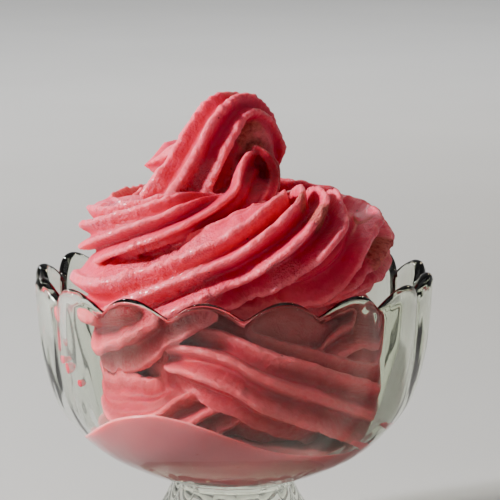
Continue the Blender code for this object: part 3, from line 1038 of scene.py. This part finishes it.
def glass_material():
    """Clear glass with faint waves, greener where it is thick. Its shadow lets most of the light through."""
    made, tree, shader = new_material("pressed glass")
    place = tree.add("ShaderNodeTexCoord").outputs["Object"]
    drawn = tree.add("ShaderNodeMapping", {"Vector": place, "Scale": (1, 1, 0.25)}).outputs["Vector"]
    waves = noise(tree, drawn, 140.0, 1.0)
    bump = tree.add("ShaderNodeBump", {"Height": waves, "Strength": 0.25, "Distance": 0.0012})
    tree.links.new(bump.outputs["Normal"], shader.inputs["Normal"])
    thick = stretched(tree, noise(tree, drawn, 30.0, 2.0), 2.0, -0.5)
    tree.links.new(mixed(tree, thick, THIN_GLASS, THICK_GLASS), shader.inputs["Base Color"])
    shader.inputs["Roughness"].default_value = 0.02
    shader.inputs["Transmission Weight"].default_value = 1.0
    shader.inputs["IOR"].default_value = 1.5
    shader.inputs["Specular Tint"].default_value = (*GLASS_MIRROR, 1)
    lamp = tree.add("ShaderNodeLightPath").outputs["Is Shadow Ray"]
    clear = tree.add("ShaderNodeBsdfTransparent", {"Color": (*GLASS_SHADOW, 1)})
    both = tree.add("ShaderNodeMixShader", {"Fac": lamp})
    tree.links.new(shader.outputs["BSDF"], both.inputs[1])
    tree.links.new(clear.outputs["BSDF"], both.inputs[2])
    tree.links.new(both.outputs["Shader"], made.node_tree.nodes["Material Output"].inputs["Surface"])
    return made


def floor_material():
    """Pale matt board, a little cloudy."""
    made, tree, shader = new_material("pale floor")
    cloud = noise(tree, tree.add("ShaderNodeTexCoord").outputs["Object"], 6.0, 4.0)
    tree.links.new(mixed(tree, cloud, FLOOR_GREY, FLOOR_PALE), shader.inputs["Base Color"])
    shader.inputs["Roughness"].default_value = 0.7
    return made


def aimed(obj, place, aim):
    """Puts a lamp or the camera at a place, turned to its aim, both in metres."""
    obj.location = place
    obj.rotation_mode = "QUATERNION"
    obj.rotation_quaternion = (Vector(aim) - Vector(place)).to_track_quat("-Z", "Y")
    bpy.context.scene.collection.objects.link(obj)


def area_light(name, place, aim, size, power, colour=(1, 1, 1)):
    """A lamp of this width and height."""
    light = bpy.data.lights.new(name, "AREA")
    light.shape = "RECTANGLE"
    light.size, light.size_y = size
    light.energy = power
    light.color = colour
    aimed(bpy.data.objects.new(name, light), place, aim)


def pale_floor():
    """A plain floor, which reaches far behind the dish."""
    corners = [(-1, -1), (1, -1), (1, 1), (-1, 1)]
    mesh = bpy.data.meshes.new("floor")
    mesh.from_pydata([(x * FLOOR_HALF_M, y * FLOOR_HALF_M, 0) for x, y in corners], [], [(0, 1, 2, 3)])
    mesh.materials.append(floor_material())
    floor = bpy.data.objects.new("floor", mesh)
    bpy.context.scene.collection.objects.link(floor)


def pale_sky():
    """Soft light from all round, strongest near the floor."""
    world = bpy.data.worlds.new("studio")
    world.use_nodes = True
    tree = Tree(world.node_tree)
    ahead = tree.add("ShaderNodeTexCoord").outputs["Generated"]
    lift = tree.add("ShaderNodeSeparateXYZ", {"Vector": ahead}).outputs["Z"]
    strength = worked(tree, "MAXIMUM", worked(tree, "MULTIPLY_ADD", lift, -SKY_LOSS, SKY_LEVEL), SKY_LEAST)
    background = world.node_tree.nodes["Background"].inputs
    background["Color"].default_value = (1, 1, 1, 1)
    tree.links.new(strength, background["Strength"])
    bpy.context.scene.world = world


def lamps():
    """The key lamp at the left, strips that edge the glass, and a lamp for the floor behind."""
    for name, turn, lift, away, size, power, colour in LIGHTS:
        side = away * math.cos(math.radians(lift))
        place = (
            side * math.sin(math.radians(turn)),
            -side * math.cos(math.radians(turn)),
            LIT_HEIGHT_M + away * math.sin(math.radians(lift)),
        )
        area_light(name, place, (0, 0, LIT_HEIGHT_M), size, power, colour)
    area_light("backdrop", *BACKDROP_LAMP)


def photo_camera():
    """The camera at the photograph's angle and distance."""
    camera = bpy.data.cameras.new("camera")
    camera.sensor_width = 36.0
    camera.lens = CAMERA_LENS
    camera.clip_start, camera.clip_end = 0.05, 50.0
    rim, lift = RIM_HEIGHT * MM, math.radians(CAMERA_LIFT)
    place = (0, -CAMERA_DISTANCE_M * math.cos(lift), rim + CAMERA_DISTANCE_M * math.sin(lift))
    eye = bpy.data.objects.new("camera", camera)
    aimed(eye, place, (AIM_RIGHT_M, 0, rim + AIM_OVER_RIM_M))
    bpy.context.scene.camera = eye


def main():
    """The dish, the melted layer, the swirl and the smears, in the studio."""
    surface = frozen_surface()
    ice = ice_material(surface)
    for piece, slot, material in (
        (glass_dish(), "pressed_glass", glass_material()),
        (melted_pool(), "melted_ice", pool_material(surface)),
        (soft_serve(), "strawberry_ice", ice),
        (smears(), "strawberry_ice", ice),
    ):
        piece.data.materials.clear()
        piece.data.materials.append(material)
        if piece.name in STANDS_FOR:
            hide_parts(STANDS_FOR[piece.name])
        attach(piece, "root")
    pale_floor()
    pale_sky()
    lamps()
    photo_camera()


main()
